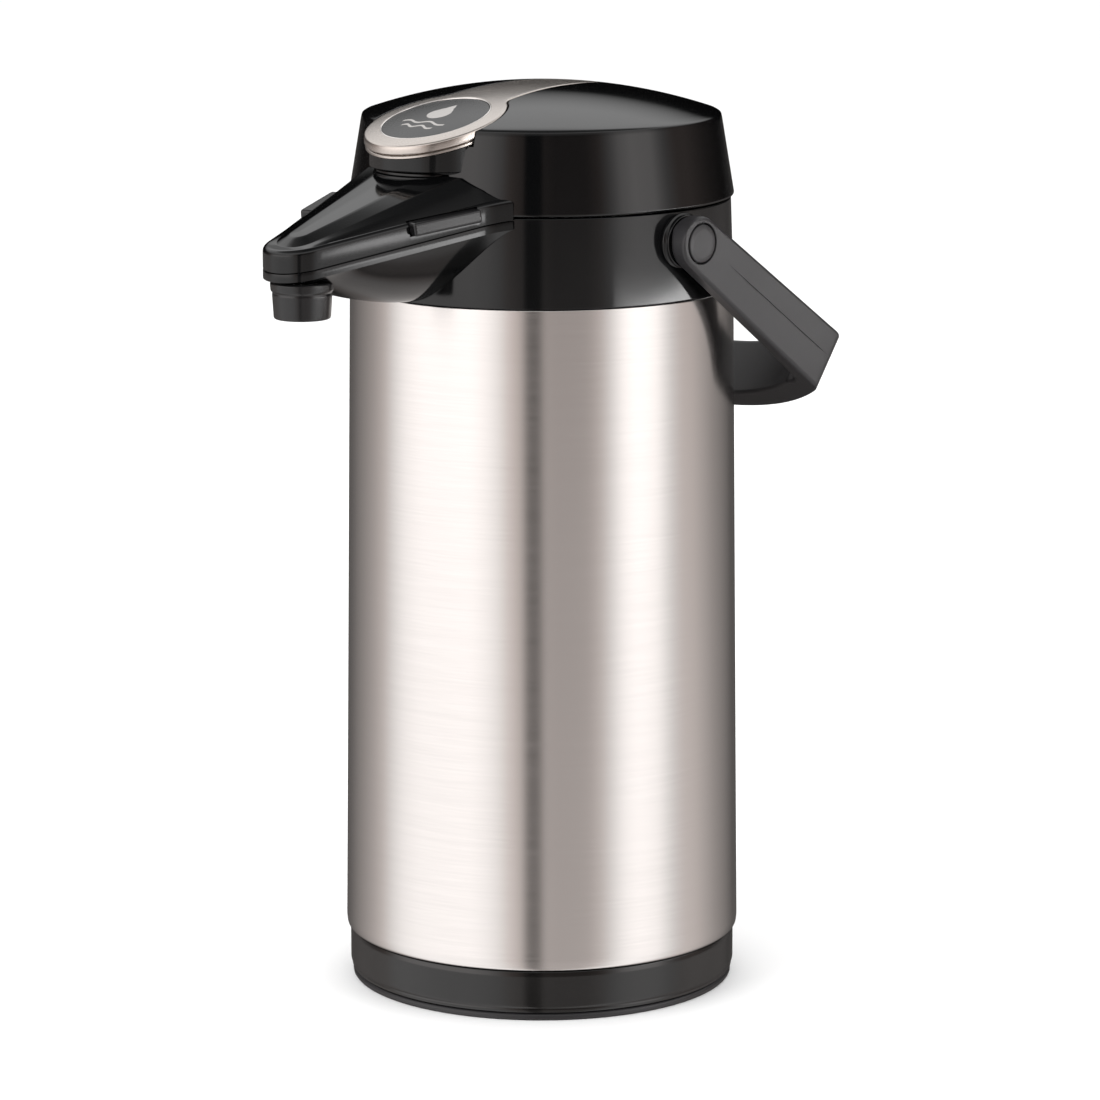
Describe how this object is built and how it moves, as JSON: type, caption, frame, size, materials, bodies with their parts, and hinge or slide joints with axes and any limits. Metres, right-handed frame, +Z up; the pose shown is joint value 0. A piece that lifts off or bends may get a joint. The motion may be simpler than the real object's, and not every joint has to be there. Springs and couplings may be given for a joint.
{
  "type": "thermal coffee airpot",
  "caption": "Tall insulated steel jug with a lever pump in its hinged lid, a tapered pouring spout, a swinging bail handle and a turntable foot.",
  "frame": {"origin": "on the body's axis, on the underside of the foot", "axes": "+Z up along the body's axis, -Y along the spout, +X to the right when looking along +Y"},
  "size_m": [0.18, 0.2686, 0.38],
  "materials": {
    "brushed_steel": "fine brushed grain round the body",
    "gloss_black": "glossy moulded black",
    "satin_black": "satin moulded black",
    "silver_lever": "silver metallic lacquer, satin",
    "badge_grey": "dark grey, plain",
    "flask_steel": "bright drawn steel",
    "seal_rubber": "grey silicone rubber",
    "pump_rubber": "black rubber",
    "pipe_plastic": "milky plastic",
    "pin_steel": "polished steel"
  },
  "bodies": {
    "body": {"steel_shell": "brushed_steel", "bottom_cover": "gloss_black", "turntable_ring": "seal_rubber", "swivel_pin": "pin_steel", "flask_outer_wall": "flask_steel", "flask_liner": "flask_steel", "flask_cushion": "pump_rubber", "neck_seal": "seal_rubber", "collar": "gloss_black", "lid_hinge_pin": "pin_steel", "spout_upper_shell": "gloss_black", "spout_lower_shell": "gloss_black", "nozzle": "gloss_black", "outlet_pipe": "pipe_plastic", "tube_seal": "seal_rubber", "suction_tube": "pipe_plastic", "handle_pin_right": "satin_black", "handle_pin_left": "satin_black", "pivot_washer_right": "pump_rubber", "pivot_washer_left": "pump_rubber"},
    "foot": {"swivel_foot": "satin_black"},
    "handle": {"handle": "satin_black"},
    "lid": {"lid_cover": "gloss_black", "lid_base": "satin_black", "lid_gasket": "seal_rubber", "air_valve": "seal_rubber", "bellows": "pump_rubber", "return_spring": "pin_steel", "lever_pin": "pin_steel", "lid_screw_1": "pin_steel", "lid_screw_2": "pin_steel", "lid_screw_3": "pin_steel", "lid_screw_4": "pin_steel"},
    "lever": {"pump_lever": "silver_lever", "lever_badge": "badge_grey"},
    "plate": {"bellows_plate": "satin_black"},
    "catch_right": {"side_catch_right": "satin_black"},
    "catch_left": {"side_catch_left": "satin_black"}
  },
  "joints": [
    {"name": "base_swivel", "type": "hinge", "parent": "body", "child": "foot", "pos_m": [0, 0, 0], "axis": [0, 0, 1], "continuous": true},
    {"name": "handle_swing", "type": "hinge", "parent": "body", "child": "handle", "pos_m": [0, 0, 0.3207], "axis": [1, 0, 0], "range_deg": [0, 190]},
    {"name": "lid_open", "type": "hinge", "parent": "body", "child": "lid", "pos_m": [0, 0.082, 0.337], "axis": [-1, 0, 0], "range_deg": [0, 80]},
    {"name": "lever_lift", "type": "hinge", "parent": "lid", "child": "lever", "pos_m": [0, 0.024, 0.37], "axis": [-1, 0, 0], "range_deg": [0, 22]},
    {"name": "plate_rise", "type": "slide", "parent": "lid", "child": "plate", "axis": [0, 0, 1], "range_m": [0, 0.0084], "deforming": ["bellows", "return_spring"]},
    {"name": "catch_right_press", "type": "slide", "parent": "body", "child": "catch_right", "axis": [-0.9373, 0.3486, 0], "range_m": [0, 0.0015], "stiffness_N_per_m": 800},
    {"name": "catch_left_press", "type": "slide", "parent": "body", "child": "catch_left", "axis": [0.9373, 0.3486, 0], "range_m": [0, 0.0015], "stiffness_N_per_m": 800}
  ],
  "couplings": [
    {"joint": "plate_rise", "follows": "lever_lift", "m_per_rad": 0.0218}
  ]
}
